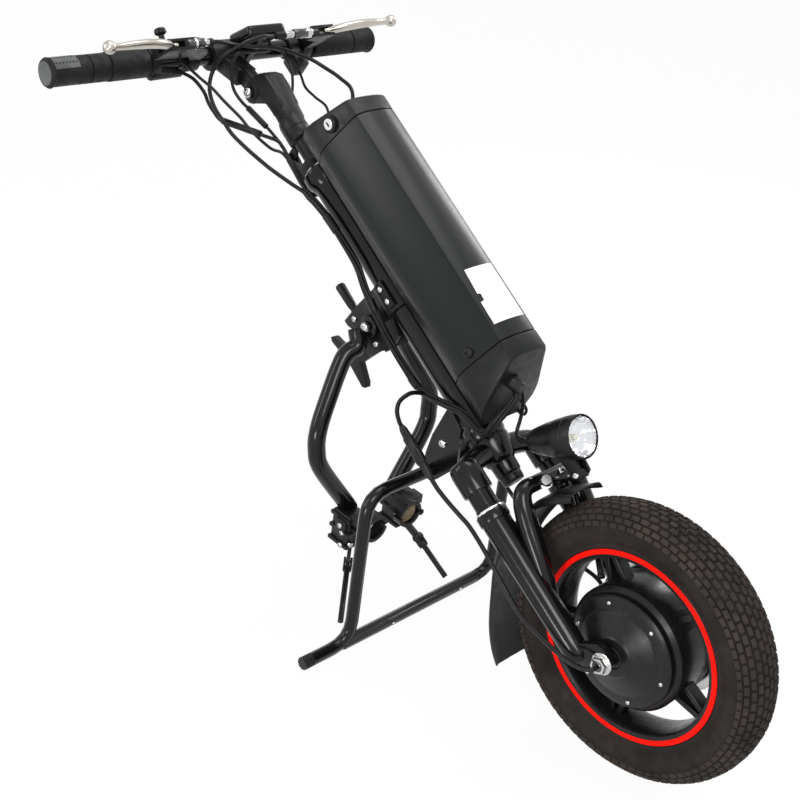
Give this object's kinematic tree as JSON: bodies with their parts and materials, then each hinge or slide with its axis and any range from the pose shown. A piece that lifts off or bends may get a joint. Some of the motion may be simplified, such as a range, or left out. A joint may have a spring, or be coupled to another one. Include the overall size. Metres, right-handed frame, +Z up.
{
  "type": "wheelchair power attachment",
  "caption": "Motorised front-wheel attachment for a manual wheelchair, with hub motor, battery column, handlebar, folding stand and docking clamps.",
  "frame": {"origin": "centre of the bounding box on the floor", "axes": "+Z up, -Y the travel direction, +X the rider's left"},
  "size_m": [0.503, 0.9592, 0.6232],
  "materials": {
    "gloss_black_paint": "gloss",
    "satin_black_metal": "satin",
    "dark_grey_case": "satin",
    "black_plastic": "matte",
    "grip_rubber": "matte",
    "tyre_rubber": "matte",
    "cable_sheath": "semi-gloss",
    "bright_steel": "polished",
    "polished_aluminium": "polished",
    "clear_lens": "clear",
    "copper_windings": "varnished",
    "cell_wrap": "shrink wrap"
  },
  "bodies": {
    "column": {"column_tube": "gloss_black_paint", "battery_case": "dark_grey_case", "battery_top_cap": "dark_grey_case", "battery_bottom_cap": "dark_grey_case", "cell_pack": "cell_wrap", "frame_bracket": "satin_black_metal", "cable_loom": "cable_sheath", "motor_connector": "cable_sheath"},
    "steering": {"fork_crown": "gloss_black_paint", "lock_nut": "satin_black_metal", "stanchion_right": "polished_aluminium", "stanchion_left": "polished_aluminium"},
    "quill": {"quill_stem": "satin_black_metal"},
    "height_latch": {"height_lever": "black_plastic"},
    "bar": {"stem_arm": "satin_black_metal", "handlebar": "gloss_black_paint", "grip_right": "grip_rubber", "grip_left": "grip_rubber", "lever_perch_right": "black_plastic", "lever_perch_left": "black_plastic", "throttle_housing": "black_plastic", "display": "black_plastic", "switch_box": "black_plastic", "brake_cable_right": "cable_sheath", "brake_cable_left": "cable_sheath", "control_harness": "cable_sheath", "switch_cable": "cable_sheath"},
    "lowers": {"axle": "bright_steel", "stator": "copper_windings", "axle_nut_right": "bright_steel", "axle_nut_left": "bright_steel", "lower_leg_right": "gloss_black_paint", "lower_leg_left": "gloss_black_paint", "fork_arch": "gloss_black_paint", "mudguard": "black_plastic", "brake_caliper": "satin_black_metal", "motor_cable": "cable_sheath", "brake_cable_lower": "cable_sheath"},
    "wheel": {"tyre": "tyre_rubber", "wheel_casting": "gloss_black_paint", "hub_cover": "gloss_black_paint", "brake_rotor": "bright_steel"},
    "lamp": {"headlight_body": "black_plastic", "headlight_lens": "clear_lens"},
    "throttle": {"throttle_sleeve": "grip_rubber"},
    "brake_lever_r": {"brake_lever_right": "polished_aluminium"},
    "brake_lever_l": {"brake_lever_left": "polished_aluminium"},
    "knob": {"parking_knob": "black_plastic"},
    "key": {"key_barrel": "bright_steel"},
    "stand_frame": {"stand": "gloss_black_paint"},
    "latch_pin": {"lock_pin": "black_plastic"},
    "release": {"frame_lever": "black_plastic"},
    "docking": {"docking_frame": "gloss_black_paint", "clamp_body_right": "satin_black_metal", "clamp_body_left": "satin_black_metal"},
    "jaw_r": {"clamp_jaw_right": "satin_black_metal"},
    "jaw_l": {"clamp_jaw_left": "satin_black_metal"},
    "cam_r": {"clamp_lever_right": "black_plastic"},
    "cam_l": {"clamp_lever_left": "black_plastic"}
  },
  "joints": [
    {"name": "steering_turn", "type": "hinge", "parent": "column", "child": "steering", "pos_m": [0, 0.08576, 0.37726], "axis": [0, 0.8434, 0.5373], "range_deg": [-45, 45]},
    {"name": "suspension_travel", "type": "slide", "parent": "steering", "child": "lowers", "axis": [0, 0.8434, 0.5373], "range_m": [0, 0.014], "stiffness_N_per_m": 9000, "springref_m": -0.012},
    {"name": "wheel_spin", "type": "hinge", "parent": "lowers", "child": "wheel", "pos_m": [0, -0.32063, 0.15903], "axis": [1, 0, 0], "continuous": true},
    {"name": "lamp_tilt", "type": "hinge", "parent": "lowers", "child": "lamp", "pos_m": [0, -0.20078, 0.30498], "axis": [1, 0, 0], "range_deg": [-12, 12]},
    {"name": "quill_height", "type": "slide", "parent": "steering", "child": "quill", "axis": [0, 0.8434, 0.5373], "range_m": [-0.02, 0.03]},
    {"name": "height_latch_swing", "type": "hinge", "parent": "quill", "child": "height_latch", "pos_m": [0, 0.30935, 0.48413], "axis": [1, 0, 0], "range_deg": [0, 55]},
    {"name": "stem_angle", "type": "hinge", "parent": "quill", "child": "bar", "pos_m": [0, 0.38218, 0.54476], "axis": [1, 0, 0], "range_deg": [0, 20]},
    {"name": "throttle_twist", "type": "hinge", "parent": "bar", "child": "throttle", "pos_m": [-0.1435, 0.46117, 0.56781], "axis": [1, 0, 0], "range_deg": [-60, 0], "stiffness_Nm_per_rad": 0.15},
    {"name": "brake_lever_right_pull", "type": "hinge", "parent": "bar", "child": "brake_lever_r", "pos_m": [-0.118, 0.40551, 0.60327], "axis": [0, -0.5373, -0.8434], "range_deg": [0, 20], "stiffness_Nm_per_rad": 1.2},
    {"name": "brake_lever_left_pull", "type": "hinge", "parent": "bar", "child": "brake_lever_l", "pos_m": [0.118, 0.40551, 0.60327], "axis": [0, -0.5373, -0.8434], "range_deg": [-20, 0], "stiffness_Nm_per_rad": 1.2},
    {"name": "parking_knob_press", "type": "slide", "parent": "bar", "child": "knob", "axis": [0, -0.5373, -0.8434], "range_m": [0, 0.004], "stiffness_N_per_m": 400},
    {"name": "key_turn", "type": "hinge", "parent": "column", "child": "key", "pos_m": [-0.04, 0.20754, 0.56392], "axis": [1, 0, 0], "range_deg": [0, 90]},
    {"name": "stand_fold", "type": "hinge", "parent": "column", "child": "stand_frame", "pos_m": [0, -0.0116, 0.21089], "axis": [1, 0, 0], "range_deg": [-15, 0]},
    {"name": "lock_pin_pull", "type": "slide", "parent": "column", "child": "latch_pin", "axis": [0, 0.8434, 0.5373], "range_m": [0, 0.01], "stiffness_N_per_m": 600, "springref_m": -0.002},
    {"name": "release_lever_swing", "type": "hinge", "parent": "column", "child": "release", "pos_m": [0, 0.12146, 0.30633], "axis": [1, 0, 0], "range_deg": [0, 35]},
    {"name": "docking_swing", "type": "hinge", "parent": "column", "child": "docking", "pos_m": [0, 0.12036, 0.34156], "axis": [1, 0, 0], "range_deg": [0, 30]},
    {"name": "clamp_lever_right_open", "type": "hinge", "parent": "docking", "child": "cam_r", "pos_m": [-0.052, 0.0706, 0.0375], "axis": [-0.6968, 0.7173, 0], "range_deg": [0, 60]},
    {"name": "clamp_lever_left_open", "type": "hinge", "parent": "docking", "child": "cam_l", "pos_m": [0.052, 0.0505, 0.0455], "axis": [-0.9946, -0.104, 0], "range_deg": [0, 60]},
    {"name": "clamp_jaw_right_open", "type": "hinge", "parent": "docking", "child": "jaw_r", "pos_m": [-0.0513, 0.0574, 0.0848], "axis": [0, 1, 0], "range_deg": [0, 30]},
    {"name": "clamp_jaw_left_open", "type": "hinge", "parent": "docking", "child": "jaw_l", "pos_m": [0.0513, 0.0574, 0.0848], "axis": [0, 1, 0], "range_deg": [-30, 0]}
  ],
  "couplings": [
    {"joint": "clamp_jaw_right_open", "follows": "clamp_lever_right_open", "ratio": 0.5},
    {"joint": "clamp_jaw_left_open", "follows": "clamp_lever_left_open", "ratio": -0.5}
  ]
}
